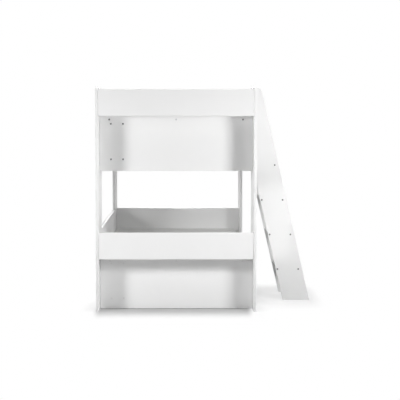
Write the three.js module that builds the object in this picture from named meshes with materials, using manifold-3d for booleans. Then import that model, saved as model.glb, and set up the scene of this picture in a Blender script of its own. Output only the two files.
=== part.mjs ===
// Bunk bed built from flat white boards, with open book niches at both ends and a leaning ladder.
// Millimetres, +Z up. The bed's length runs along Y and its wall side faces -X. The ladder stands at +X.
// The origin lies on the floor under the middle of the whole piece, ladder included.

import * as THREE from 'three';
import { mergeVertices } from 'three/addons/utils/BufferGeometryUtils.js';
import Module from 'manifold-3d';

const wasm = await Module();
wasm.setup();

// Board stock
const boardThickness = 18;
const edgeRound = 1.2;
const seamGap = 0.3;

// Bed outline
const bedWidth = 1000;
const bedBayLength = 1920;
const uprightHeight = 1400;
const uprightDepth = 330;
const uprightCornerRadius = 15;

// Ends: a lip in front, an open niche behind it and a set-back end board
const nicheDepth = 104;
const lipHeight = 166;
const lowerLipTop = 496;
const upperLipDrop = 14;
const lowerEndBoardBottom = 4;
const upperEndBoardHeight = 511;

// Lower bed: the near end board ends below its lip's top, the far lip below its end board's top
const nearEndBoardDrop = 14;
const farLipDrop = 14;

// Sides
const frontRailDrop = 22;
const frontRailHeight = 166;
const wallRailHeight = 230;

// Slatted bases
const lowerBaseTop = 335;
const guardHeight = 280;
const slatThickness = 18;
const slatWidth = 96;
const slatWallGap = 2;
const slatFrontGap = 35;
const slatEndGap = 2;
const slatCornerRadius = 6;
const slatsPerBase = 12;
const ledgeWidth = 60;
const ledgeHeight = 30;

// Ladder
const ladderStart = 498;
const ladderWidth = 400;
const ladderReach = 380;
const stileWidth = 170;
const stileTopWidth = 56;
const stileProud = 6;
const stileCornerRadius = 45;
const treadCount = 4;
const firstTreadHeight = 206;
const treadInset = 5;
const treadNoseRadius = 6;
const housingDepth = 6;

// Ladder entry, a cut-out in the upper front board
const entryMargin = 12;
const entrySillRise = 21;
const entryInnerRadius = 60;
const entryOuterRadius = 30;

// Screw recesses, round and shallow, for capped screws
const recessRadius = 6.5;
const recessDepth = 2.5;
const treadScrewPitch = 138;
const treadScrewShift = 7;
const treadScrewRoom = 20;
const endRowDrop = 22;
const endRowInset = 62;
const endGridInset = 72;
const endGridPitchX = 76;
const endGridPitchZ = 223;
const endGridRise = 12;

// Steel plates that join the upper side boards to the uprights
const plateLength = 100;
const plateHeight = 60;
const plateThickness = 3;
const plateCornerRadius = 8;
const plateEdgeRound = 0.5;
const plateHoleRadius = 2.5;
const plateHoleInset = 16;
const platesTopDrop = 60;

// How finely round shapes are divided, and how far cuts run past a face
const cornerSteps = 6;
const softSteps = 2;
const edgeSteps = 1;
const holeSides = 16;
const cutOverrun = 1;

// Places that follow from the sizes above
const bedX = -ladderReach / 2;
const wallFace = bedX - bedWidth / 2;
const frontFace = bedX + bedWidth / 2;
const wallInside = wallFace + boardThickness;
const frontInside = frontFace - boardThickness;
const bayHalf = bedBayLength / 2;
const endBoardFace = bayHalf + boardThickness;
const lipBack = endBoardFace + nicheDepth;
const bedHalf = lipBack + boardThickness;
const sideHalf = bedHalf - uprightDepth;
const upperLipTop = uprightHeight - upperLipDrop;
const upperEndBoardBottom = upperLipTop - upperEndBoardHeight;
const upperBaseTop = upperLipTop - guardHeight;
const frontRailTop = lowerBaseTop - frontRailDrop;
const entrySill = upperBaseTop + entrySillRise;
const stileHeight = uprightHeight + stileProud;
const ladderSlope = (ladderReach - stileTopWidth) / stileHeight;
const stileRun = stileWidth / Math.cos(Math.atan(ladderSlope));
const treadRise = (entrySill - firstTreadHeight) / treadCount;
const ladderNear = ladderStart - bedHalf;
const ladderFar = ladderNear + ladderWidth;
const heelReach = ladderReach - stileRun;

// Finishes
const finishes = {
  foil: { color: 0xf3f3f2, roughness: 0.42, metalness: 0 },
  tread: { color: 0xf1f1f0, roughness: 0.5, metalness: 0 },
  slat: { color: 0xe9e8e4, roughness: 0.62, metalness: 0 },
  steel: { color: 0xb9bcbf, roughness: 0.38, metalness: 1 },
};

const bunkBed = new THREE.Group();

// A mesh with a material of its own, added to the bed
function addPiece(name, geometry, finish) {
  const mesh = new THREE.Mesh(geometry, new THREE.MeshStandardMaterial(finishes[finish]));
  mesh.name = name;
  bunkBed.add(mesh);
  return mesh;
}

// Solids for cutting, and back to a mesh's geometry
function toSolid(geometry) {
  const bare = geometry.clone();
  bare.deleteAttribute('normal');
  bare.deleteAttribute('uv');
  const merged = mergeVertices(bare);
  return new wasm.Manifold(new wasm.Mesh({
    numProp: 3,
    vertProperties: new Float32Array(merged.attributes.position.array),
    triVerts: new Uint32Array(merged.index.array),
  }));
}

function toGeometry(solid) {
  const mesh = solid.getMesh();
  const geometry = new THREE.BufferGeometry();
  const positions = new Float32Array(mesh.vertProperties);
  geometry.setAttribute('position', new THREE.BufferAttribute(positions, mesh.numProp));
  geometry.setIndex(new THREE.BufferAttribute(new Uint32Array(mesh.triVerts), 1));
  geometry.computeVertexNormals();
  return geometry;
}

function cutAway(geometry, cutters) {
  let solid = toSolid(geometry);
  for (const cutter of cutters) {
    solid = solid.subtract(toSolid(cutter));
  }
  return toGeometry(solid);
}

// A closed outline from corner points, each rounded with its own radius in its own number of steps
function roundedOutline(corners) {
  const outline = new THREE.Shape();
  corners.forEach((corner, index) => {
    const here = new THREE.Vector2(corner.x, corner.y);
    const before = corners[(index + corners.length - 1) % corners.length];
    const after = corners[(index + 1) % corners.length];
    const toBefore = new THREE.Vector2(before.x, before.y).sub(here).normalize();
    const toAfter = new THREE.Vector2(after.x, after.y).sub(here).normalize();
    const opening = Math.acos(toBefore.dot(toAfter));
    const reach = corner.radius / Math.tan(opening / 2);
    const start = here.clone().addScaledVector(toBefore, reach);
    const toCentre = toBefore.clone().add(toAfter).normalize();
    const centre = here.clone().addScaledVector(toCentre, corner.radius / Math.sin(opening / 2));
    const turn = toAfter.cross(toBefore);
    const steps = corner.steps ?? softSteps;
    const startAngle = Math.atan2(start.y - centre.y, start.x - centre.x);
    const sweep = (Math.PI - opening) * Math.sign(turn);
    for (let step = 0; step <= steps; step += 1) {
      const angle = startAngle + sweep * step / steps;
      const x = centre.x + corner.radius * Math.cos(angle);
      const y = centre.y + corner.radius * Math.sin(angle);
      if (index === 0 && step === 0) {
        outline.moveTo(x, y);
      } else {
        outline.lineTo(x, y);
      }
    }
  });
  outline.closePath();
  return outline;
}

function rectangle(width, height, radius = edgeRound) {
  const half = { x: width / 2, y: height / 2 };
  return roundedOutline([
    { x: -half.x, y: -half.y, radius },
    { x: half.x, y: -half.y, radius },
    { x: half.x, y: half.y, radius },
    { x: -half.x, y: half.y, radius },
  ]);
}

// A board of a given outline, centred in its thickness, with all edges softened
function board(outline, thickness, soft = edgeRound) {
  const geometry = new THREE.ExtrudeGeometry(outline, {
    depth: thickness - 2 * soft,
    steps: 1,
    bevelEnabled: true,
    bevelThickness: soft,
    bevelSize: soft,
    bevelOffset: -soft,
    bevelSegments: edgeSteps,
  });
  geometry.translate(0, 0, soft - thickness / 2);
  return geometry;
}

// Turns of a flat board: its thickness along X, along Y, or along Z
const axisX = new THREE.Vector3(1, 0, 0);
const axisY = new THREE.Vector3(0, 1, 0);
const axisZ = new THREE.Vector3(0, 0, 1);
const turns = {
  x: new THREE.Matrix4().makeBasis(axisY, axisZ, axisX),
  y: new THREE.Matrix4().makeBasis(axisX, axisZ, axisY.clone().negate()),
  z: new THREE.Matrix4(),
};

function turnBoard(mesh, facing) {
  mesh.quaternion.setFromRotationMatrix(turns[facing]);
}

// A plain board that fills the space between two corners, its thickness along one axis
function addBoard(name, facing, x, y, z, finish = 'foil', radius = edgeRound, cutters = []) {
  const size = { x: x[1] - x[0], y: y[1] - y[0], z: z[1] - z[0] };
  const flat = { x: [size.y, size.z], y: [size.x, size.z], z: [size.x, size.y] }[facing];
  const plain = board(rectangle(flat[0], flat[1], radius), size[facing]);
  const geometry = cutters.length ? cutAway(plain, cutters) : plain;
  const mesh = addPiece(name, geometry, finish);
  turnBoard(mesh, facing);
  mesh.position.set((x[0] + x[1]) / 2, (y[0] + y[1]) / 2, (z[0] + z[1]) / 2);
  return mesh;
}

// A round cutter that sinks a screw recess into a board's face, in the board's own plane
function recessCutter(x, y, face, side) {
  const length = recessDepth + cutOverrun;
  const cutter = new THREE.CylinderGeometry(recessRadius, recessRadius, length, holeSides);
  cutter.rotateX(Math.PI / 2);
  cutter.translate(x, y, side * (face - recessDepth / 2 + cutOverrun / 2));
  return cutter;
}

const ends = [
  { name: 'near', side: -1 },
  { name: 'far', side: 1 },
];
const walls = [
  { name: 'wall', low: wallFace, high: wallInside, out: -1 },
  { name: 'front', low: frontInside, high: frontFace, out: 1 },
];
const levels = [
  { name: 'lower', lipTop: lowerLipTop, boardBottom: lowerEndBoardBottom, baseTop: lowerBaseTop },
  { name: 'upper', lipTop: upperLipTop, boardBottom: upperEndBoardBottom, baseTop: upperBaseTop },
];

// A span of lengths on the near or far side, lowest value first
function spanAt(side, inner, outer) {
  return side < 0 ? [-outer, -inner] : [inner, outer];
}

// Four uprights, deep boards on edge with round top corners
function addUprights() {
  const half = { x: uprightDepth / 2, y: uprightHeight / 2 };
  for (const end of ends) {
    for (const wall of walls) {
      const outline = roundedOutline([
        { x: -half.x, y: -half.y, radius: edgeRound },
        { x: half.x, y: -half.y, radius: edgeRound },
        { x: half.x, y: half.y, radius: uprightCornerRadius, steps: cornerSteps },
        { x: -half.x, y: half.y, radius: uprightCornerRadius, steps: cornerSteps },
      ]);
      const mesh = addPiece(`upright_${wall.name}_${end.name}`, board(outline, boardThickness), 'foil');
      turnBoard(mesh, 'x');
      mesh.position.set((wall.low + wall.high) / 2, end.side * (bedHalf - half.x), half.y);
    }
  }
}

// Screw recesses of an end board, on its outer face
function endBoardRecesses(level, end, width, height) {
  const zMiddle = level.boardBottom + height / 2;
  const lipBottom = level.lipTop - lipHeight;
  const rowZ = lipBottom - endRowDrop - zMiddle;
  const gridZ = (level.boardBottom + lipBottom) / 2 + endGridRise - zMiddle;
  const face = boardThickness / 2;
  const outward = -end.side;
  const cutters = [];
  for (const rowShare of [-1, 0, 1]) {
    cutters.push(recessCutter(rowShare * (width / 2 - endRowInset), rowZ, face, outward));
  }
  for (const column of [0, 1]) {
    for (const row of [-1, 1]) {
      const x = -width / 2 + endGridInset + column * endGridPitchX;
      cutters.push(recessCutter(x, gridZ + row * endGridPitchZ / 2, face, outward));
    }
  }
  return cutters;
}

// Each end of each bed: a lip, a niche shelf behind it and a set-back end board
function addEnds() {
  const across = [wallInside + seamGap, frontInside - seamGap];
  const width = across[1] - across[0];
  for (const level of levels) {
    for (const end of ends) {
      const lipBottom = level.lipTop - lipHeight;
      const suffix = `${level.name}_${end.name}`;
      const lower = level.name === 'lower';
      const lipTop = level.lipTop - (lower && end.name === 'far' ? farLipDrop : 0);
      const boardTop = level.lipTop - (lower && end.name === 'near' ? nearEndBoardDrop : 0);
      const lipSpan = spanAt(end.side, lipBack, bedHalf);
      addBoard(`lip_${suffix}`, 'y', across, lipSpan, [lipBottom, lipTop]);
      const shelfSpan = spanAt(end.side, endBoardFace + seamGap, lipBack - seamGap);
      addBoard(`niche_shelf_${suffix}`, 'z', across, shelfSpan, [lipBottom, lipBottom + boardThickness]);
      const height = boardTop - level.boardBottom;
      const cutters = endBoardRecesses(level, end, width, height);
      const boardSpan = spanAt(end.side, bayHalf, endBoardFace);
      const rise = [level.boardBottom, boardTop];
      addBoard(`end_board_${suffix}`, 'y', across, boardSpan, rise, 'foil', edgeRound, cutters);
    }
  }
}

// Rails and side boards, edge to edge with the uprights
function addSides() {
  const between = [-sideHalf + seamGap, sideHalf - seamGap];
  const wallSpan = [wallFace, wallInside];
  const frontSpan = [frontInside, frontFace];
  const wallRailRise = [lowerLipTop - wallRailHeight, lowerLipTop];
  const frontRailRise = [frontRailTop - frontRailHeight, frontRailTop];
  addBoard('side_rail_wall_lower', 'x', wallSpan, between, wallRailRise);
  addBoard('side_rail_front_lower', 'x', frontSpan, between, frontRailRise);
  addBoard('side_board_wall_upper', 'x', wallSpan, between, [upperEndBoardBottom, upperLipTop]);
  addEntryBoard(between);
}

// The upper front board, with the rounded cut-out where the ladder arrives
function addEntryBoard(between) {
  const entryLow = ladderNear + boardThickness + entryMargin;
  const entryHigh = ladderFar - boardThickness - entryMargin;
  const outline = roundedOutline([
    { x: between[0], y: upperEndBoardBottom, radius: edgeRound },
    { x: between[1], y: upperEndBoardBottom, radius: edgeRound },
    { x: between[1], y: upperLipTop, radius: edgeRound },
    { x: entryHigh, y: upperLipTop, radius: entryOuterRadius, steps: cornerSteps },
    { x: entryHigh, y: entrySill, radius: entryInnerRadius, steps: cornerSteps },
    { x: entryLow, y: entrySill, radius: entryInnerRadius, steps: cornerSteps },
    { x: entryLow, y: upperLipTop, radius: entryOuterRadius, steps: cornerSteps },
    { x: between[0], y: upperLipTop, radius: edgeRound },
  ]);
  const mesh = addPiece('side_board_front_upper', board(outline, boardThickness), 'foil');
  turnBoard(mesh, 'x');
  mesh.position.set((frontInside + frontFace) / 2, 0, 0);
}

// Ledges along both sides, with loose slats laid across them
function addBases() {
  const along = [-bayHalf + seamGap, bayHalf - seamGap];
  const slatSpan = [wallInside + slatWallGap, frontInside - slatFrontGap];
  const firstSlat = -bayHalf + slatEndGap;
  const slatPitch = (bedBayLength - 2 * slatEndGap - slatWidth) / (slatsPerBase - 1);
  for (const level of levels) {
    const slatBottom = level.baseTop - slatThickness;
    const ledgeTop = slatBottom - seamGap;
    const height = [ledgeTop - ledgeHeight, ledgeTop];
    const wallSpan = [wallInside + seamGap, wallInside + seamGap + ledgeWidth];
    const frontSpan = [frontInside - seamGap - ledgeWidth, frontInside - seamGap];
    addBoard(`ledge_wall_${level.name}`, 'x', wallSpan, along, height, 'slat');
    addBoard(`ledge_front_${level.name}`, 'x', frontSpan, along, height, 'slat');
    for (let index = 0; index < slatsPerBase; index += 1) {
      const start = firstSlat + index * slatPitch;
      const name = `slat_${level.name}_${String(index + 1).padStart(2, '0')}`;
      const span = [start, start + slatWidth];
      addBoard(name, 'z', slatSpan, span, [slatBottom, level.baseTop], 'slat', slatCornerRadius);
    }
  }
}

// Ladder: horizontal reach of the stile's outer and inner edges at a height, from the bed's front face
function outerReach(height) {
  return ladderReach - height * ladderSlope;
}

function innerReach(height) {
  return Math.max(0, heelReach - height * ladderSlope);
}

function treadSpan(index) {
  const height = firstTreadHeight + index * treadRise;
  const low = height - boardThickness / 2;
  const high = height + boardThickness / 2;
  return {
    height,
    z: [low, high],
    x: [frontFace + innerReach(low) + treadInset, frontFace + outerReach(high) - treadInset],
  };
}

// A stile: leaning board, cut level at the floor and upright against the bed's front.
// Each tread takes two screws, but one where the inner would come too close to the bed.
function addStile(name, y, facing) {
  const bedEdge = frontFace + seamGap;
  const meetHeight = (heelReach - seamGap) / ladderSlope;
  const outline = roundedOutline([
    { x: frontFace + heelReach, y: 0, radius: edgeRound },
    { x: frontFace + ladderReach, y: 0, radius: edgeRound },
    { x: frontFace + stileTopWidth, y: stileHeight, radius: stileCornerRadius, steps: cornerSteps },
    { x: bedEdge, y: stileHeight, radius: edgeRound },
    { x: bedEdge, y: meetHeight, radius: edgeRound },
  ]);
  const cutters = [];
  const face = boardThickness / 2;
  for (let index = 0; index < treadCount; index += 1) {
    const tread = treadSpan(index);
    const width = tread.x[1] - tread.x[0] + 2 * seamGap;
    const height = boardThickness + 2 * seamGap;
    const housing = new THREE.BoxGeometry(width, height, housingDepth + cutOverrun);
    const middle = (tread.x[0] + tread.x[1]) / 2;
    housing.translate(middle, tread.height, facing * (face - housingDepth / 2 + cutOverrun / 2));
    cutters.push(housing);
    const screwMiddle = frontFace + outerReach(tread.height) - stileRun / 2 - treadScrewShift;
    for (const half of [-1, 1]) {
      const x = screwMiddle + half * treadScrewPitch / 2;
      if (x > frontFace + treadScrewRoom) {
        cutters.push(recessCutter(x, tread.height, face, -facing));
      }
    }
  }
  const mesh = addPiece(name, cutAway(board(outline, boardThickness), cutters), 'foil');
  turnBoard(mesh, 'y');
  mesh.position.set(0, y, 0);
}

function addLadder() {
  addStile('ladder_stile_near', ladderNear + boardThickness / 2, -1);
  addStile('ladder_stile_far', ladderFar - boardThickness / 2, 1);
  const bury = boardThickness - housingDepth + seamGap;
  const y = [ladderNear + bury, ladderFar - bury];
  for (let index = 0; index < treadCount; index += 1) {
    const tread = treadSpan(index);
    const profile = rectangle(tread.x[1] - tread.x[0], boardThickness, treadNoseRadius);
    const mesh = addPiece(`ladder_tread_${index + 1}`, board(profile, y[1] - y[0]), 'tread');
    turnBoard(mesh, 'y');
    mesh.position.set((tread.x[0] + tread.x[1]) / 2, (y[0] + y[1]) / 2, tread.height);
  }
}

// Steel joining plates inside the upper bed, one over each seam between side board and upright
function addSeamPlates() {
  const x = plateLength / 2 - plateHoleInset;
  const y = plateHeight / 2 - plateHoleInset;
  const holeDepth = plateThickness + cutOverrun;
  const cutters = [];
  for (const across of [-1, 1]) {
    for (const up of [-1, 1]) {
      const hole = new THREE.CylinderGeometry(plateHoleRadius, plateHoleRadius, holeDepth, holeSides);
      hole.rotateX(Math.PI / 2);
      hole.translate(across * x, up * y, 0);
      cutters.push(hole);
    }
  }
  for (const end of ends) {
    for (const wall of walls) {
      const outline = rectangle(plateLength, plateHeight, plateCornerRadius);
      const geometry = cutAway(board(outline, plateThickness, plateEdgeRound), cutters);
      const mesh = addPiece(`seam_plate_${wall.name}_${end.name}`, geometry, 'steel');
      turnBoard(mesh, 'x');
      const inside = wall.out < 0 ? wall.high : wall.low;
      const offset = seamGap + plateThickness / 2;
      mesh.position.set(inside - wall.out * offset, end.side * sideHalf, upperLipTop - platesTopDrop);
    }
  }
}

addUprights();
addEnds();
addSides();
addBases();
addLadder();
addSeamPlates();

export default bunkBed;
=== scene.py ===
import math

import bmesh
import bpy
from mathutils import Matrix, Vector


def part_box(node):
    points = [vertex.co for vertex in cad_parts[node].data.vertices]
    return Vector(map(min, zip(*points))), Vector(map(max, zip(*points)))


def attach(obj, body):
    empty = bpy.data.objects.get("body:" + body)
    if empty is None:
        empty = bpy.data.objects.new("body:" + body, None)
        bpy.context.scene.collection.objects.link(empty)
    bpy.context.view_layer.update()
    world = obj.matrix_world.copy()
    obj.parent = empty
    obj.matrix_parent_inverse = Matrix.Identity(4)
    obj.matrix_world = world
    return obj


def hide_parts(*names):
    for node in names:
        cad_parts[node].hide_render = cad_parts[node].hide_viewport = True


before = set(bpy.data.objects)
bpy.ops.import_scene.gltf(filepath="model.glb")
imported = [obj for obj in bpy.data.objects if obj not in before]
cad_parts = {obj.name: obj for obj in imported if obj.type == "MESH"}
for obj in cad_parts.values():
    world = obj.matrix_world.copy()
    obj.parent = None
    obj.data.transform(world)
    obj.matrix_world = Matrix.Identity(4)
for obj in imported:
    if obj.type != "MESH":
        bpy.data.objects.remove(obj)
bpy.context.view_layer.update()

# Bunk bed of flat white boards, in metres. The bed's length runs along Y and the ladder stands at +X.
MM = 0.001
ROOT = "root"
AXIS_X, AXIS_Y, AXIS_Z = 0, 1, 2
UP = Vector((0, 0, 1))
INWARD_X = {"wall": Vector((1, 0, 0)), "front": Vector((-1, 0, 0))}
OUTWARD_Y = {"near": Vector((0, -1, 0)), "far": Vector((0, 1, 0))}

# The words and counts in the names of the CAD nodes
ENDS = ("near", "far")
WALLS = ("wall", "front")
LEVELS = ("lower", "upper")
TREADS = (1, 2, 3, 4)
SLATS = 12

# The photograph's frame: the row of the horizon and the column where the bed's long edges meet
PHOTO_PX = 400
FOCAL_PX = 1237.1
HORIZON_PX = 115.27
VANISHING_PX = 183.17

# The camera that took it: its distance before the near end, aside from the bed's middle and above the floor
CAMERA_BACK = 7.6558
CAMERA_ASIDE = 0.044
CAMERA_HEIGHT = 1.2246
CAMERA_ROLL_DEGREES = 0.01
CAMERA_CLIP = (0.1, 100)

# Rounded edges: their widths, their steps and the least angle between two faces that is rounded
BOARD_ROUND = 0.45 * MM
LEDGE_ROUND = 0.8 * MM
PLATE_ROUND = 0.2 * MM
SLAT_ROUND = 1.2 * MM
ROUND_STEPS = 2
BOARD_SHARP_DEGREES = 25
SLAT_SHARP_DEGREES = 35

# Merging a board's mesh, and how squarely a face looks along the thin axis if it is a broad one
SAME_POINT = 0.02 * MM
SAME_PLANE_DEGREES = 1
BROAD_FACE = 0.95

# The joint line at both ends of a crosswise board, and how far from its end a point still moves with it
JOINT_GAP = 0.9 * MM
JOINT_REACH = 4 * MM

# Slats: the paint's colour is made up of a tone for each slat and of the grain
SLAT_CORNER = 6 * MM
SLAT_CORNER_STEPS = 4
SLAT_SEAM = 0.01 * MM
SLAT_SEED = 3
SLAT_TONE = "slat_tone"
SLAT_TONE_SHARE = 0.55
GRAIN_TONE_SHARE = 0.45

# The round recesses of the CAD boards: no radius is over the reach, and no bottom is less level than this
RECESS_DEPTH = 2.5 * MM
RECESS_REACH = 9 * MM
FLAT = 0.05 * MM

# How far from the bed's middle a recess of the upper end board still counts as the middle one
MIDDLE_REACH = 20 * MM

# Places of the screws, bolts and covers; the ladder's fixing bolts have two heights over the floor
SLAT_SCREW_SPREAD = 28 * MM
SLAT_SCREW_WALL_INSET = 30 * MM
SLAT_SCREW_FRONT_INSET = 12 * MM
LEDGE_SCREW_INSET = 120 * MM
LEDGE_SCREWS = 6
PLATE_SCREW_INSET = 16 * MM
COVER_INSET = 34 * MM
COVER_DROP = 60 * MM
LOW_COVER_RISE = 4 * COVER_DROP
FIXING_BOLT_HEIGHTS = (0.95, 1.3)

# Round heads: the sides of their outline, and the width of a cross's arms as a share of its radius
HEAD_SIDES = 28
CROSS_ARM = 0.42

# The floor as the camera sees it: a painted shadow under the bed, pale paper round it, then white.
# A tone is the share of light that a paper gives back, and a lift is the strength of its own glow.
# A fade is the range of distances outside a rectangle over which one paper passes into the next.
# A sideways factor counts distances along X that many times, so that the fade is shorter there.
# The front strip, the first stretch of the bed at its near end, fades more slowly than the rest.
# The painted shadow: darker paper with a weak glow under the bed, in place of the bed's contact shadow on
# the floor.
PAINTED_SHADOW_TONE = 0.3
PAINTED_SHADOW_LIFT = 0.22
PAINTED_SHADOW_FADE = (0.05, 0.44)
PAINTED_SHADOW_SIDEWAYS = 8
PAINTED_SHADOW_WALL_INSET = 0.03
PAINTED_SHADOW_FRONT_INSET = 0.065
PALE_TONE = 0.35
PALE_LIFT = 0.62
WHITE_FADE = (0.05, 0.45)
BED_SIDEWAYS = 16
FRONT_STRIP = 0.12
FRONT_STRIP_SIDEWAYS = 4
LADDER_SIDEWAYS = 4

# The floor's half width, and the share of light that it gives back to the bed
FLOOR_HALF = 30
FLOOR_BOUNCE = 0.6
WHITE = (1, 1, 1, 1)

bed_low, bed_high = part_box("upright_wall_near")[0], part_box("upright_front_far")[1]
bed_middle_x = (bed_low.x + bed_high.x) / 2


# Materials

def new_material(name):
    """An empty material with a Principled shader; returns it with its tree and shader."""
    material = bpy.data.materials.new(name)
    material.use_nodes = True
    tree = material.node_tree
    tree.nodes.clear()
    output = tree.nodes.new("ShaderNodeOutputMaterial")
    shader = tree.nodes.new("ShaderNodeBsdfPrincipled")
    tree.links.new(shader.outputs["BSDF"], output.inputs["Surface"])
    return material, tree, shader


def object_coordinates(tree, scale=(1, 1, 1)):
    """Object coordinates, stretched by a scale along each axis."""
    coordinates = tree.nodes.new("ShaderNodeTexCoord")
    mapping = tree.nodes.new("ShaderNodeMapping")
    mapping.inputs["Scale"].default_value = scale
    tree.links.new(coordinates.outputs["Object"], mapping.inputs["Vector"])
    return mapping.outputs["Vector"]


def noise(tree, vector, scale, detail, roughness=0.5):
    """Smooth noise over a vector, mostly between 0.3 and 0.7."""
    node = tree.nodes.new("ShaderNodeTexNoise")
    node.inputs["Scale"].default_value = scale
    node.inputs["Detail"].default_value = detail
    node.inputs["Roughness"].default_value = roughness
    tree.links.new(vector, node.inputs["Vector"])
    return node.outputs["Fac"]


def map_range(tree, value, low, high, from_low=0.3, from_high=0.7):
    """A value carried from one range to another."""
    node = tree.nodes.new("ShaderNodeMapRange")
    node.inputs["From Min"].default_value = from_low
    node.inputs["From Max"].default_value = from_high
    node.inputs["To Min"].default_value = low
    node.inputs["To Max"].default_value = high
    tree.links.new(value, node.inputs["Value"])
    return node.outputs["Result"]


def ramp(tree, value, dark, light, low=0.3, high=0.7):
    """A colour between two tones, by a value."""
    node = tree.nodes.new("ShaderNodeValToRGB")
    node.color_ramp.elements[0].position = low
    node.color_ramp.elements[1].position = high
    node.color_ramp.elements[0].color = (*dark, 1)
    node.color_ramp.elements[1].color = (*light, 1)
    tree.links.new(value, node.inputs["Fac"])
    return node.outputs["Color"]


def bump(tree, shader, height, distance, strength):
    """Fine relief on a shader from a height between 0 and 1."""
    node = tree.nodes.new("ShaderNodeBump")
    node.inputs["Distance"].default_value = distance
    node.inputs["Strength"].default_value = strength
    tree.links.new(height, node.inputs["Height"])
    tree.links.new(node.outputs["Normal"], shader.inputs["Normal"])


def foil_material(name, dark, light, roughness):
    """White foil or moulded white: a faint drift of tone, satin gloss and a fine pearl grain."""
    material, tree, shader = new_material(name)
    vector = object_coordinates(tree)
    drift = noise(tree, vector, scale=2.2, detail=3)
    tree.links.new(ramp(tree, drift, dark, light), shader.inputs["Base Color"])
    smear = noise(tree, object_coordinates(tree, (9, 9, 3)), scale=2.0, detail=5)
    tree.links.new(map_range(tree, smear, *roughness), shader.inputs["Roughness"])
    pearl = noise(tree, vector, scale=900, detail=2)
    bump(tree, shader, pearl, distance=0.02 * MM, strength=0.6)
    shader.inputs["Specular IOR Level"].default_value = 0.4
    return material


def slat_material(dark, light, roughness):
    """White paint on wood: grain along its length shows through, and each slat has a tone of its own."""
    material, tree, shader = new_material("slat_paint")
    along = object_coordinates(tree, (1.2, 26, 26))
    grain = noise(tree, along, scale=5.0, detail=6, roughness=0.62)
    own = tree.nodes.new("ShaderNodeAttribute")
    own.attribute_name = SLAT_TONE
    mixed = tree.nodes.new("ShaderNodeMath")
    mixed.operation = "MULTIPLY_ADD"
    mixed.inputs[1].default_value = SLAT_TONE_SHARE
    tree.links.new(own.outputs["Fac"], mixed.inputs[0])
    tree.links.new(map_range(tree, grain, 0.0, GRAIN_TONE_SHARE), mixed.inputs[2])
    paint = ramp(tree, mixed.outputs["Value"], dark, light, low=0.0, high=1.0)
    tree.links.new(paint, shader.inputs["Base Color"])
    tree.links.new(map_range(tree, grain, *roughness), shader.inputs["Roughness"])
    bump(tree, shader, grain, distance=0.12 * MM, strength=0.7)
    return material


def metal_material(name, dark, light, metallic, roughness):
    """Plated steel: cloudy plating over fine turning marks."""
    material, tree, shader = new_material(name)
    vector = object_coordinates(tree)
    cloud = noise(tree, vector, scale=160, detail=4)
    tree.links.new(ramp(tree, cloud, dark, light), shader.inputs["Base Color"])
    tree.links.new(map_range(tree, cloud, *roughness), shader.inputs["Roughness"])
    shader.inputs["Metallic"].default_value = metallic
    turning = noise(tree, vector, scale=2600, detail=2)
    bump(tree, shader, turning, distance=0.01 * MM, strength=0.5)
    return material


FOIL = foil_material("board_foil", (0.868, 0.868, 0.866), (0.884, 0.884, 0.882), roughness=(0.38, 0.48))
BAND = foil_material("edge_band", (0.852, 0.852, 0.85), (0.872, 0.872, 0.87), roughness=(0.3, 0.4))
PAINT = slat_material((0.76, 0.757, 0.745), (0.845, 0.843, 0.833), roughness=(0.5, 0.64))
ZINC = metal_material("zinc_plate", (0.56, 0.57, 0.58), (0.72, 0.73, 0.74), 1.0, roughness=(0.28, 0.44))
SCREW = metal_material("screw_steel", (0.2, 0.2, 0.205), (0.27, 0.27, 0.275), 0.55, roughness=(0.42, 0.58))
CAP = foil_material("cap_plastic", (0.80, 0.80, 0.797), (0.83, 0.83, 0.827), roughness=(0.32, 0.4))


# Boards: each CAD board is merged, its edges rounded and its narrow faces banded

def finished(name, mesh):
    """A new object at the origin that holds a mesh, in the scene."""
    piece = bpy.data.objects.new(name, mesh)
    bpy.context.scene.collection.objects.link(piece)
    return piece


def round_edges(piece, width, sharp_degrees):
    """Rounds a piece's edges where its faces meet at more than an angle."""
    rounding = piece.modifiers.new("edge_round", "BEVEL")
    rounding.width = width
    rounding.segments = ROUND_STEPS
    rounding.limit_method = "ANGLE"
    rounding.angle_limit = math.radians(sharp_degrees)
    rounding.harden_normals = True


def draw_in_ends(shape, low, high):
    """Shortens a crosswise board at both ends, so that a fine joint line shows against the uprights."""
    for vertex in shape.verts:
        if vertex.co.x < low.x + JOINT_REACH:
            vertex.co.x += JOINT_GAP
        elif vertex.co.x > high.x - JOINT_REACH:
            vertex.co.x -= JOINT_GAP


def dress_board(node, thin_axis, broad, narrow, edge_round=BOARD_ROUND, jointed=False):
    """A rounded copy of a CAD board, with one finish on its two broad faces and one on its edges.

    Faces with many sides are divided here, because Blender's own division can fill a cut-out.
    """
    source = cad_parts[node]
    shape = bmesh.new()
    shape.from_mesh(source.data)
    if jointed:
        draw_in_ends(shape, *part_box(node))
    bmesh.ops.remove_doubles(shape, verts=shape.verts, dist=SAME_POINT)
    same_plane = math.radians(SAME_PLANE_DEGREES)
    bmesh.ops.dissolve_limit(shape, angle_limit=same_plane, verts=shape.verts, edges=shape.edges)
    many_sided = [face for face in shape.faces if len(face.verts) > 4]
    bmesh.ops.triangulate(shape, faces=many_sided, ngon_method="BEAUTY")
    for face in shape.faces:
        face.smooth = abs(face.normal[thin_axis]) < BROAD_FACE
        face.material_index = 1 if face.smooth else 0
    mesh = bpy.data.meshes.new(node + "_board")
    shape.to_mesh(mesh)
    shape.free()
    mesh.materials.append(broad)
    mesh.materials.append(narrow)
    piece = finished(node + "_board", mesh)
    round_edges(piece, edge_round, BOARD_SHARP_DEGREES)
    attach(piece, ROOT)
    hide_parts(node)


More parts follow.
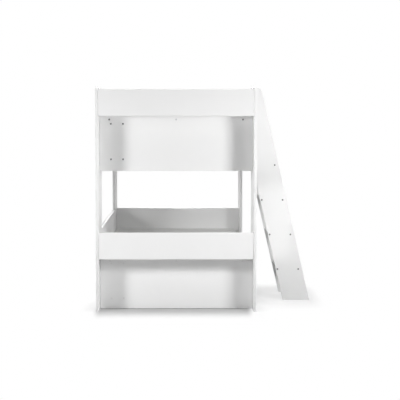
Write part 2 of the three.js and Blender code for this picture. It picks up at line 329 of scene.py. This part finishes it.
thin_axes = {}
for end in ENDS:
    for wall in WALLS:
        thin_axes[f"upright_{wall}_{end}"] = AXIS_X
    for level in LEVELS:
        thin_axes[f"lip_{level}_{end}"] = AXIS_Y
        thin_axes[f"end_board_{level}_{end}"] = AXIS_Y
        thin_axes[f"niche_shelf_{level}_{end}"] = AXIS_Z
    thin_axes[f"ladder_stile_{end}"] = AXIS_Y
for wall in WALLS:
    for board in (f"side_rail_{wall}_lower", f"side_board_{wall}_upper"):
        thin_axes[board] = AXIS_X
for board, axis in thin_axes.items():
    crosswise = board.startswith(("lip_", "end_board_"))
    dress_board(board, axis, FOIL, BAND, jointed=crosswise)
for tread in TREADS:
    dress_board(f"ladder_tread_{tread}", AXIS_Z, FOIL, BAND)
for wall in WALLS:
    for level in LEVELS:
        dress_board(f"ledge_{wall}_{level}", AXIS_X, PAINT, PAINT, LEDGE_ROUND)
    for end in ENDS:
        dress_board(f"seam_plate_{wall}_{end}", AXIS_X, ZINC, ZINC, PLATE_ROUND)


# Geometry Nodes: small helpers, then one tree for each kind of repeated piece

def new_tree(name, sizes):
    """An empty tree with a geometry input, named sizes and a geometry output."""
    tree = bpy.data.node_groups.new(name, "GeometryNodeTree")
    tree.interface.new_socket("Geometry", in_out="INPUT", socket_type="NodeSocketGeometry")
    for label, kind in sizes.items():
        tree.interface.new_socket(label, in_out="INPUT", socket_type="NodeSocket" + kind)
    tree.interface.new_socket("Geometry", in_out="OUTPUT", socket_type="NodeSocketGeometry")
    return tree, tree.nodes.new("NodeGroupInput").outputs


def step(tree, kind, sockets, **settings):
    """A node with its settings; each socket takes a value or a link from another node's output."""
    node = tree.nodes.new(kind)
    for name, value in settings.items():
        setattr(node, name, value)
    for name, value in sockets.items():
        if isinstance(value, bpy.types.NodeSocket):
            tree.links.new(value, node.inputs[name])
        else:
            node.inputs[name].default_value = value
    return node


def random_number(tree, high, seed):
    """A random number from nought up for each point or instance; sockets 2 and 3 are its least and most."""
    sockets = {2: 0.0, 3: high, "Seed": seed}
    return step(tree, "FunctionNodeRandomValue", sockets, data_type="FLOAT").outputs[1]


def multiplied(tree, value, factor):
    """A tree's value times a number."""
    return step(tree, "ShaderNodeMath", {0: value, 1: factor}, operation="MULTIPLY").outputs[0]


def close_tree(tree, geometry, finish):
    """Realised instances with their finish, sent to the tree's output."""
    real = step(tree, "GeometryNodeRealizeInstances", {"Geometry": geometry})
    dressed = step(tree, "GeometryNodeSetMaterial", {"Geometry": real.outputs[0], "Material": finish})
    output = tree.nodes.new("NodeGroupOutput")
    tree.links.new(dressed.outputs[0], output.inputs[0])
    return tree


def facing_outward(tree, seed):
    """Turns an instance's Z to the point's outward vector, with a random spin about it."""
    attribute = {"Name": "outward"}
    outward = step(tree, "GeometryNodeInputNamedAttribute", attribute, data_type="FLOAT_VECTOR")
    aimed = step(tree, "FunctionNodeAlignRotationToVector", {"Vector": outward.outputs[0]}, axis="Z")
    spin = {"Axis": (0, 0, 1), "Angle": random_number(tree, 2 * math.pi, seed)}
    turn = step(tree, "FunctionNodeAxisAngleToRotation", spin)
    both = {"Rotation": aimed.outputs[0], "Rotate By": turn.outputs[0]}
    return step(tree, "FunctionNodeRotateRotation", both, rotation_space="LOCAL").outputs[0]


def cross_cutters(tree, radius, depth):
    """Two crossed blocks for the recess of a crossed head."""
    span = multiplied(tree, radius, 2.0)
    arm = multiplied(tree, radius, CROSS_ARM)
    cutters = []
    for long_axis, short_axis in (("X", "Y"), ("Y", "X")):
        extent = step(tree, "ShaderNodeCombineXYZ", {long_axis: span, short_axis: arm, "Z": depth})
        block = step(tree, "GeometryNodeMeshCube", {"Size": extent.outputs[0]})
        cutters.append(block.outputs["Mesh"])
    return cutters


def socket_cutter(tree, sides, radius, depth):
    """One prism for the recess of a socketed head."""
    prism = {"Vertices": sides, "Radius": radius, "Depth": depth}
    return step(tree, "GeometryNodeMeshCylinder", prism).outputs["Mesh"]


def round_head_tree(cross):
    """Round heads with drawn-in rims and a recess: a socket with sides, or a cross.

    The cutters stand across the head's top, so they are twice as deep as the recess.
    """
    sizes = {"Head Radius": "Float", "Rim Radius": "Float", "Head Height": "Float"}
    sizes.update({"Socket Radius": "Float", "Socket Depth": "Float", "Socket Sides": "Int"})
    sizes.update({"Seed": "Int", "Finish": "Material"})
    tree, size = new_tree("crossed_head" if cross else "socketed_head", sizes)
    cone = {"Vertices": HEAD_SIDES, "Radius Bottom": size["Head Radius"]}
    cone.update({"Radius Top": size["Rim Radius"], "Depth": size["Head Height"]})
    shape = step(tree, "GeometryNodeMeshCone", cone).outputs["Mesh"]
    depth = multiplied(tree, size["Socket Depth"], 2.0)
    if cross:
        cutters = cross_cutters(tree, size["Socket Radius"], depth)
    else:
        cutters = [socket_cutter(tree, size["Socket Sides"], size["Socket Radius"], depth)]
    lift = step(tree, "ShaderNodeCombineXYZ", {"Z": size["Head Height"]})
    for cutter in cutters:
        raised = step(tree, "GeometryNodeTransform", {"Geometry": cutter, "Translation": lift.outputs[0]})
        operands = {"Mesh 1": shape, "Mesh 2": raised.outputs[0]}
        shape = step(tree, "GeometryNodeMeshBoolean", operands, operation="DIFFERENCE").outputs[0]
    spread = {"Points": size["Geometry"], "Instance": shape}
    spread["Rotation"] = facing_outward(tree, size["Seed"])
    heads = step(tree, "GeometryNodeInstanceOnPoints", spread)
    return close_tree(tree, heads.outputs[0], size["Finish"])


def plank_tree():
    """Planks with round corners, each centred over its point, with a tone of its own."""
    sizes = {"Length": "Float", "Width": "Float", "Thickness": "Float", "Corner Radius": "Float"}
    sizes.update({"Corner Steps": "Int", "Seed": "Int", "Finish": "Material"})
    tree, size = new_tree("painted_planks", sizes)
    sides = {"Width": size["Length"], "Height": size["Width"]}
    outline = step(tree, "GeometryNodeCurvePrimitiveQuadrilateral", sides)
    corners = {"Curve": outline.outputs[0], "Count": size["Corner Steps"]}
    corners["Radius"] = size["Corner Radius"]
    rounded = step(tree, "GeometryNodeFilletCurve", corners, mode="POLY")
    sheet = step(tree, "GeometryNodeFillCurve", {"Curve": rounded.outputs[0]}, mode="NGONS")
    rise = step(tree, "ShaderNodeCombineXYZ", {"Z": size["Thickness"]})
    lifted = {"Mesh": sheet.outputs[0], "Offset": rise.outputs[0]}
    lifted.update({"Offset Scale": 1.0, "Individual": False})
    body = step(tree, "GeometryNodeExtrudeMesh", lifted, mode="FACES")
    under = step(tree, "GeometryNodeFlipFaces", {"Mesh": sheet.outputs[0]})
    whole = tree.nodes.new("GeometryNodeJoinGeometry")
    tree.links.new(body.outputs[0], whole.inputs[0])
    tree.links.new(under.outputs[0], whole.inputs[0])
    seam = {"Geometry": whole.outputs[0], "Distance": SLAT_SEAM}
    plank = step(tree, "GeometryNodeMergeByDistance", seam)
    spread = {"Points": size["Geometry"], "Instance": plank.outputs[0]}
    laid = step(tree, "GeometryNodeInstanceOnPoints", spread)
    named = {"Geometry": laid.outputs[0], "Name": SLAT_TONE}
    named["Value"] = random_number(tree, 1.0, size["Seed"])
    toned = step(tree, "GeometryNodeStoreNamedAttribute", named, data_type="FLOAT", domain="INSTANCE")
    return close_tree(tree, toned.outputs[0], size["Finish"])


def grown(name, tree, places, sizes):
    """A plain mesh piece that a tree makes at places, pairs of a point and the way it faces."""
    points = bpy.data.meshes.new(name)
    points.from_pydata([place for place, way in places], [], [])
    outward = points.attributes.new("outward", "FLOAT_VECTOR", "POINT")
    outward.data.foreach_set("vector", [part for place, way in places for part in way])
    piece = finished(name, points)
    maker = piece.modifiers.new("maker", "NODES")
    maker.node_group = tree
    for item in tree.interface.items_tree:
        if item.in_out == "INPUT" and item.name in sizes:
            maker[item.identifier] = sizes[item.name]
    made = bpy.data.meshes.new_from_object(piece.evaluated_get(bpy.context.evaluated_depsgraph_get()))
    made.name = name
    piece.modifiers.remove(maker)
    piece.data = made
    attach(piece, ROOT)
    return piece


SOCKETED_HEAD = round_head_tree(cross=False)
CROSSED_HEAD = round_head_tree(cross=True)
PLANKS = plank_tree()


# Slats

def lay_slats(level, seed):
    """The slats of one level as one piece, in place of their CAD nodes."""
    nodes = [f"slat_{level}_{index + 1:02d}" for index in range(SLATS)]
    boxes = [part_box(node) for node in nodes]
    size = boxes[0][1] - boxes[0][0]
    seats = [(((low.x + high.x) / 2, (low.y + high.y) / 2, low.z), UP) for low, high in boxes]
    planks = {"Length": size.x, "Width": size.y, "Thickness": size.z}
    planks.update({"Corner Radius": SLAT_CORNER, "Corner Steps": SLAT_CORNER_STEPS})
    planks.update({"Seed": seed, "Finish": PAINT})
    slats = grown(f"slats_{level}", PLANKS, seats, planks)
    for face in slats.data.polygons:
        face.use_smooth = True
    round_edges(slats, SLAT_ROUND, SLAT_SHARP_DEGREES)
    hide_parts(*nodes)


for index, level in enumerate(LEVELS):
    lay_slats(level, SLAT_SEED + index)


# Places of the screws, bolts, plugs and covers: pairs of a point and the way it faces

def recess_places(node, facing):
    """The middles of the round recesses in a CAD board's outer face."""
    low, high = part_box(node)
    bottom = (low.y + RECESS_DEPTH) if facing.y < 0 else (high.y - RECESS_DEPTH)
    rings = []
    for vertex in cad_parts[node].data.vertices:
        if abs(vertex.co.y - bottom) > FLAT:
            continue
        ring = next((found for found in rings if (found[0] - vertex.co).length < 2 * RECESS_REACH), None)
        if ring is None:
            rings.append([vertex.co.copy()])
        else:
            ring.append(vertex.co.copy())
    middles = []
    for ring in rings:
        x = (min(point.x for point in ring) + max(point.x for point in ring)) / 2
        z = (min(point.z for point in ring) + max(point.z for point in ring)) / 2
        middles.append(((x, bottom, z), facing))
    return middles


def slat_screw_places(node):
    """Two screws at each end of a slat, over the ledges."""
    low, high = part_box(node)
    middle = (low.y + high.y) / 2
    rows = (low.x + SLAT_SCREW_WALL_INSET, high.x - SLAT_SCREW_FRONT_INSET)
    return [((x, middle + side * SLAT_SCREW_SPREAD, high.z), UP) for x in rows for side in (-1, 1)]


def ledge_screw_places(node, facing):
    """A row of screws along a ledge's face that looks into the bed."""
    low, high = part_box(node)
    x = low.x if facing.x < 0 else high.x
    pitch = (high.y - low.y - 2 * LEDGE_SCREW_INSET) / (LEDGE_SCREWS - 1)
    rows = [low.y + LEDGE_SCREW_INSET + index * pitch for index in range(LEDGE_SCREWS)]
    return [((x, y, (low.z + high.z) / 2), facing) for y in rows]


def plate_screw_places(node, facing):
    """Four screws over the holes of a seam plate."""
    low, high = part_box(node)
    x = low.x if facing.x < 0 else high.x
    rows = (low.y + PLATE_SCREW_INSET, high.y - PLATE_SCREW_INSET)
    heights = (low.z + PLATE_SCREW_INSET, high.z - PLATE_SCREW_INSET)
    return [((x, y, z), facing) for y in rows for z in heights]


def fixing_bolt_places():
    """Two bolts in line with each stile of the ladder, on the front board's inner face."""
    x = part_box("side_board_front_upper")[0].x
    places = []
    for end in ENDS:
        low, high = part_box(f"ladder_stile_{end}")
        places.extend([((x, (low.y + high.y) / 2, z), INWARD_X["front"]) for z in FIXING_BOLT_HEIGHTS])
    return places


def cover_places(node, facing):
    """Covers over the fittings at both ends of a crosswise board, on its face that looks into the bed."""
    low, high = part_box(node)
    y = high.y if facing.y > 0 else low.y
    top = (low.z + LOW_COVER_RISE) if node.startswith("end_board_lower_") else (high.z - COVER_DROP)
    heights = (low.z + COVER_DROP, top)
    return [((x, y, z), facing) for x in (low.x + COVER_INSET, high.x - COVER_INSET) for z in heights]


# Screws, bolts, plugs and covers

BOLT = {
    "Head Radius": 5.7 * MM, "Rim Radius": 5.1 * MM, "Head Height": 1.9 * MM,
    "Socket Radius": 2.9 * MM, "Socket Depth": 1.3 * MM, "Socket Sides": 6, "Finish": SCREW,
}
# The same bolt in pale zinc: a painted highlight for a bolt that stands in the light.
PAINTED_HIGHLIGHT_BOLT = {**BOLT, "Finish": ZINC}
WOOD_SCREW = {
    "Head Radius": 4.2 * MM, "Rim Radius": 3.2 * MM, "Head Height": 0.9 * MM,
    "Socket Radius": 2.1 * MM, "Socket Depth": 0.6 * MM, "Finish": ZINC,
}
PLUG = {
    "Head Radius": 6.2 * MM, "Rim Radius": 5.6 * MM, "Head Height": 2.1 * MM,
    "Socket Radius": 3.4 * MM, "Socket Depth": 0.3 * MM, "Socket Sides": HEAD_SIDES, "Finish": CAP,
}
COVER = {
    "Head Radius": 9.0 * MM, "Rim Radius": 8.2 * MM, "Head Height": 0.8 * MM,
    "Socket Radius": 5.6 * MM, "Socket Depth": 0.3 * MM, "Socket Sides": HEAD_SIDES, "Finish": CAP,
}


def fit_heads(name, tree, places, sizes, seed):
    """One piece of heads at their places, each spun at random by the seed."""
    grown(name, tree, places, {**sizes, "Seed": seed})


for end in ENDS:
    outward = OUTWARD_Y[end]
    stile = recess_places(f"ladder_stile_{end}", outward)
    upper = recess_places(f"end_board_upper_{end}", outward)
    lower = recess_places(f"end_board_lower_{end}", outward)
    middle = [place for place in upper if abs(place[0][0] - bed_middle_x) < MIDDLE_REACH]
    others = [place for place in upper if place not in middle]
    fit_heads(f"ladder_bolts_{end}", SOCKETED_HEAD, stile, BOLT, seed=11)
    fit_heads(f"upper_end_board_bolts_{end}", SOCKETED_HEAD, others, BOLT, seed=12)
    # The middle bolt of the upper end board is pale zinc, a painted highlight where light falls on it.
    fit_heads(f"upper_end_board_middle_bolt_{end}", SOCKETED_HEAD, middle, PAINTED_HIGHLIGHT_BOLT, seed=12)
    fit_heads(f"lower_end_board_plugs_{end}", SOCKETED_HEAD, lower, PLUG, seed=18)

fit_heads("ladder_fixing_bolts", SOCKETED_HEAD, fixing_bolt_places(), BOLT, seed=13)

for level in LEVELS:
    places = []
    for index in range(SLATS):
        places.extend(slat_screw_places(f"slat_{level}_{index + 1:02d}"))
    fit_heads(f"slat_screws_{level}", CROSSED_HEAD, places, WOOD_SCREW, seed=14)
    for wall in WALLS:
        places = ledge_screw_places(f"ledge_{wall}_{level}", INWARD_X[wall])
        fit_heads(f"ledge_screws_{wall}_{level}", CROSSED_HEAD, places, WOOD_SCREW, seed=15)

places = []
for wall in WALLS:
    for end in ENDS:
        places.extend(plate_screw_places(f"seam_plate_{wall}_{end}", INWARD_X[wall]))
fit_heads("seam_plate_screws", CROSSED_HEAD, places, WOOD_SCREW, seed=16)

for end in ENDS:
    places = []
    for level in LEVELS:
        for board in (f"end_board_{level}_{end}", f"lip_{level}_{end}"):
            places.extend(cover_places(board, -OUTWARD_Y[end]))
    fit_heads(f"fitting_covers_{end}", SOCKETED_HEAD, places, COVER, seed=17)


# Floor and world

def length_outside(tree, low, high, sideways):
    """The distance of a point from a rectangle on the floor, with X counted several times."""
    place = object_coordinates(tree, (sideways, 1, 1))
    middle = ((low[0] + high[0]) / 2 * sideways, (low[1] + high[1]) / 2, 0)
    half = ((high[0] - low[0]) / 2 * sideways, (high[1] - low[1]) / 2, 0)
    steps = (("SUBTRACT", middle), ("ABSOLUTE", None), ("SUBTRACT", half), ("MAXIMUM", (0, 0, 0)))
    for operation, value in steps:
        node = tree.nodes.new("ShaderNodeVectorMath")
        node.operation = operation
        tree.links.new(place, node.inputs[0])
        if value is not None:
            node.inputs[1].default_value = value
        place = node.outputs["Vector"]
    size = tree.nodes.new("ShaderNodeVectorMath")
    size.operation = "LENGTH"
    tree.links.new(place, size.inputs[0])
    return size.outputs["Value"]


def mixed_shader(tree, share, first, second):
    """The first shader where the share is nought, the second where it is one."""
    node = tree.nodes.new("ShaderNodeMixShader")
    tree.links.new(share, node.inputs["Fac"])
    tree.links.new(first, node.inputs[1])
    tree.links.new(second, node.inputs[2])
    return node.outputs["Shader"]


def folded(tree, operation, values):
    """Several values joined one after another by a math operation."""
    joined = values[0]
    for value in values[1:]:
        node = tree.nodes.new("ShaderNodeMath")
        node.operation = operation
        tree.links.new(joined, node.inputs[0])
        tree.links.new(value, node.inputs[1])
        joined = node.outputs["Value"]
    return joined


def direct_ray(tree):
    """One for rays that come straight, mirrored or through glass from the camera, else nought."""
    rays = tree.nodes.new("ShaderNodeLightPath").outputs
    kinds = ("Is Camera Ray", "Is Glossy Ray", "Is Transmission Ray")
    return folded(tree, "MAXIMUM", [rays[kind] for kind in kinds])


def paper_shader(tree, tone, lift):
    """Paper of a tone with a glow of its own."""
    paper = tree.nodes.new("ShaderNodeBsdfDiffuse")
    paper.inputs["Color"].default_value = (tone, tone, tone, 1)
    glow = tree.nodes.new("ShaderNodeEmission")
    glow.inputs["Strength"].default_value = lift
    both = tree.nodes.new("ShaderNodeAddShader")
    tree.links.new(paper.outputs["BSDF"], both.inputs[0])
    tree.links.new(glow.outputs["Emission"], both.inputs[1])
    return both.outputs["Shader"]


def smooth_share(tree, value, fade):
    """Nought to one, eased at both ends, as a value passes through a range."""
    share = map_range(tree, value, 0.0, 1.0, *fade)
    share.node.interpolation_type = "SMOOTHSTEP"
    return share


def painted_shadow_share(tree):
    """Nought under the bed between its lower end boards, where the painted shadow is full, and one well away
    from there.
    """
    board_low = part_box("end_board_lower_near")[0]
    board_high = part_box("end_board_lower_far")[1]
    low = (bed_low.x + PAINTED_SHADOW_WALL_INSET, board_low.y)
    high = (bed_high.x - PAINTED_SHADOW_FRONT_INSET, board_high.y)
    return smooth_share(tree, length_outside(tree, low, high, PAINTED_SHADOW_SIDEWAYS), PAINTED_SHADOW_FADE)


def white_share(tree):
    """Nought close to the bed and its ladder, and one well away from them."""
    stile_low, stile_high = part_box("ladder_stile_near")[0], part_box("ladder_stile_far")[1]
    lengths = [
        length_outside(tree, bed_low, bed_high, BED_SIDEWAYS),
        length_outside(tree, bed_low, (bed_high.x, bed_low.y + FRONT_STRIP), FRONT_STRIP_SIDEWAYS),
        length_outside(tree, (bed_high.x, stile_low.y), stile_high, LADDER_SIDEWAYS),
    ]
    return smooth_share(tree, folded(tree, "MINIMUM", lengths), WHITE_FADE)


def add_floor():
    """Paper with a painted shadow under the bed, which keeps the bed's real shadow near it and fades to the
    white background away from it.
    """
    mesh = bpy.data.meshes.new("floor")
    signs = ((-1, -1), (1, -1), (1, 1), (-1, 1))
    corners = [(x * FLOOR_HALF, y * FLOOR_HALF, 0) for x, y in signs]
    mesh.from_pydata(corners, [], [(0, 1, 2, 3)])
    floor = finished("floor", mesh)
    material, tree, dull = new_material("floor_white_painted_shadow")
    output = next(node for node in tree.nodes if node.type == "OUTPUT_MATERIAL")
    dull.inputs["Base Color"].default_value = (FLOOR_BOUNCE, FLOOR_BOUNCE, FLOOR_BOUNCE, 1)
    dull.inputs["Roughness"].default_value = 1.0
    dull.inputs["Specular IOR Level"].default_value = 0.0
    # A painted shadow: darker paper with a weak glow, under the bed and fading out round it.
    painted_shadow = paper_shader(tree, PAINTED_SHADOW_TONE, PAINTED_SHADOW_LIFT)
    pale = paper_shader(tree, PALE_TONE, PALE_LIFT)
    background = paper_shader(tree, tone=0.0, lift=1.0)
    seen = mixed_shader(tree, painted_shadow_share(tree), painted_shadow, pale)
    seen = mixed_shader(tree, white_share(tree), seen, background)
    whole = mixed_shader(tree, direct_ray(tree), dull.outputs["BSDF"], seen)
    tree.links.new(whole, output.inputs["Surface"])
    floor.data.materials.append(material)


def set_world():
    """A white background for direct rays, which gives the bed no soft light."""
    world = bpy.data.worlds.new("studio")
    bpy.context.scene.world = world
    world.use_nodes = True
    tree = world.node_tree
    tree.nodes.clear()
    output = tree.nodes.new("ShaderNodeOutputWorld")
    white = tree.nodes.new("ShaderNodeBackground")
    white.inputs["Color"].default_value = WHITE
    tree.links.new(direct_ray(tree), white.inputs["Strength"])
    tree.links.new(white.outputs["Background"], output.inputs["Surface"])


# Lamps and camera: the lamps' aims are points on the bed

BED_HEART = (-0.15, -0.5, 0.75)
NEAR_END = (-0.15, -1.05, 0.75)
UPPER_END_BOARD = (-0.7, -1.0, 0.8)
LOWER_END_BOARD = (0.2, -1.0, 0.25)
LADDER_FOOT = (0.8, -0.55, 0.08)


def add_lamp(name, position, target, size, power, spread=180):
    """A square lamp aimed at a point, unseen by the camera; a smaller spread in degrees narrows its beam."""
    data = bpy.data.lights.new(name, "AREA")
    data.shape = "SQUARE"
    data.size = size
    data.energy = power
    data.spread = math.radians(spread)
    lamp = bpy.data.objects.new(name, data)
    bpy.context.scene.collection.objects.link(lamp)
    lamp.location = position
    lamp.rotation_euler = (Vector(target) - Vector(position)).to_track_quat("-Z", "Y").to_euler()
    lamp.visible_camera = False


def place_camera():
    """A camera in the photograph's place, turned by the horizon's row and the vanishing column."""
    data = bpy.data.cameras.new("camera")
    data.lens = FOCAL_PX / PHOTO_PX * data.sensor_width
    data.clip_start, data.clip_end = CAMERA_CLIP
    camera = bpy.data.objects.new("camera", data)
    bpy.context.scene.collection.objects.link(camera)
    pitch = math.atan((PHOTO_PX / 2 - HORIZON_PX) / FOCAL_PX)
    yaw = math.atan((PHOTO_PX / 2 - VANISHING_PX) / FOCAL_PX)
    turn = Matrix.Rotation(-yaw, 4, "Z") @ Matrix.Rotation(math.pi / 2 - pitch, 4, "X")
    turn = turn @ Matrix.Rotation(math.radians(CAMERA_ROLL_DEGREES), 4, "Z")
    place = Vector((bed_middle_x + CAMERA_ASIDE, bed_low.y - CAMERA_BACK, CAMERA_HEIGHT))
    camera.matrix_world = Matrix.Translation(place) @ turn
    bpy.context.scene.camera = camera


add_floor()
set_world()
add_lamp("high_lamp_right", (3.5, -4.5, 3.0), NEAR_END, size=0.8, power=42)
add_lamp("low_lamp_right", (1.8, -2.3, 1.05), UPPER_END_BOARD, size=0.5, power=11.2, spread=100)
add_lamp("front_lamp_left", (-2.5, -2.4, 1.3), LOWER_END_BOARD, size=0.45, power=17.0, spread=110)
add_lamp("ladder_foot_lamp", (1.8, -3.0, 1.0), LADDER_FOOT, size=0.4, power=0.2, spread=25)
add_lamp("top_lamp", (-0.2, -1.5, 4.0), BED_HEART, size=1.2, power=61)
add_lamp("side_lamp_left", (-4.2, 0.0, 0.8), BED_HEART, size=1.2, power=34)
add_lamp("side_lamp_right", (4.2, 0.0, 1.5), BED_HEART, size=1.2, power=18)
add_lamp("back_lamp", (-0.2, 6.0, 2.5), BED_HEART, size=1.2, power=222)
place_camera()

bpy.context.scene.view_settings.view_transform = "Standard"
